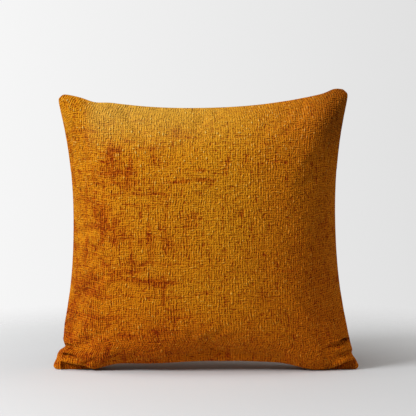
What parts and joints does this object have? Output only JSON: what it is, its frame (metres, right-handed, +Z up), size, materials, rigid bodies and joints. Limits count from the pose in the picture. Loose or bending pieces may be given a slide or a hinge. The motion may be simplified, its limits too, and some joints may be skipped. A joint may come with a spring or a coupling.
{
  "type": "throw pillow",
  "caption": "Square knife-edge chenille throw pillow, standing on its edge: zipped cover with pointed corners over a fibre-filled insert.",
  "frame": {"origin": "centre of the bounding box at the level that the pillow stands on", "axes": "+Z up, X along the pillow's width, Y through its thickness; the front faces -Y and the seam lies in the plane Y = 0"},
  "size_m": [0.5027, 0.1736, 0.4702],
  "materials": {
    "chenille": "matte",
    "thread": "matte",
    "zip_tape": "matte",
    "zip_coil": "satin",
    "zip_metal": "satin",
    "ticking": "matte",
    "white_thread": "matte",
    "fibre": "matte",
    "satin": "satin"
  },
  "bodies": {
    "pillow": {"cover_front_panel": "chenille", "cover_back_panel": "chenille", "seam_stitch_left": "thread", "seam_overlock_left": "thread", "insert_stitch_left": "white_thread", "seam_stitch_right": "thread", "seam_overlock_right": "thread", "insert_stitch_right": "white_thread", "seam_stitch_top": "thread", "seam_overlock_top": "thread", "insert_stitch_top": "white_thread", "seam_stitch_bottom_left": "thread", "seam_overlock_bottom_left": "thread", "insert_stitch_bottom_left": "white_thread", "seam_stitch_bottom_right": "thread", "seam_overlock_bottom_right": "thread", "insert_stitch_bottom_right": "white_thread", "zip_tape_front": "zip_tape", "zip_coil_front": "zip_coil", "zip_stitch_front": "thread", "zip_top_stop_front": "zip_metal", "insert_front_panel": "ticking", "zip_tape_back": "zip_tape", "zip_coil_back": "zip_coil", "zip_stitch_back": "thread", "zip_top_stop_back": "zip_metal", "insert_back_panel": "ticking", "zip_bottom_stop": "zip_metal", "insert_closing_stitch": "white_thread", "insert_filling": "fibre", "insert_label": "satin", "care_label": "satin"},
    "slider": {"zip_slider": "zip_metal"},
    "pull": {"zip_pull_tab": "zip_metal"}
  },
  "joints": [
    {"name": "zip_slide", "type": "slide", "parent": "pillow", "child": "slider", "axis": [-1, 0, 0], "range_m": [0, 0.372]},
    {"name": "pull_swing", "type": "hinge", "parent": "slider", "child": "pull", "pos_m": [0.186, 0, 0.0158], "axis": [0, 1, 0], "range_deg": [-75, 75]}
  ]
}
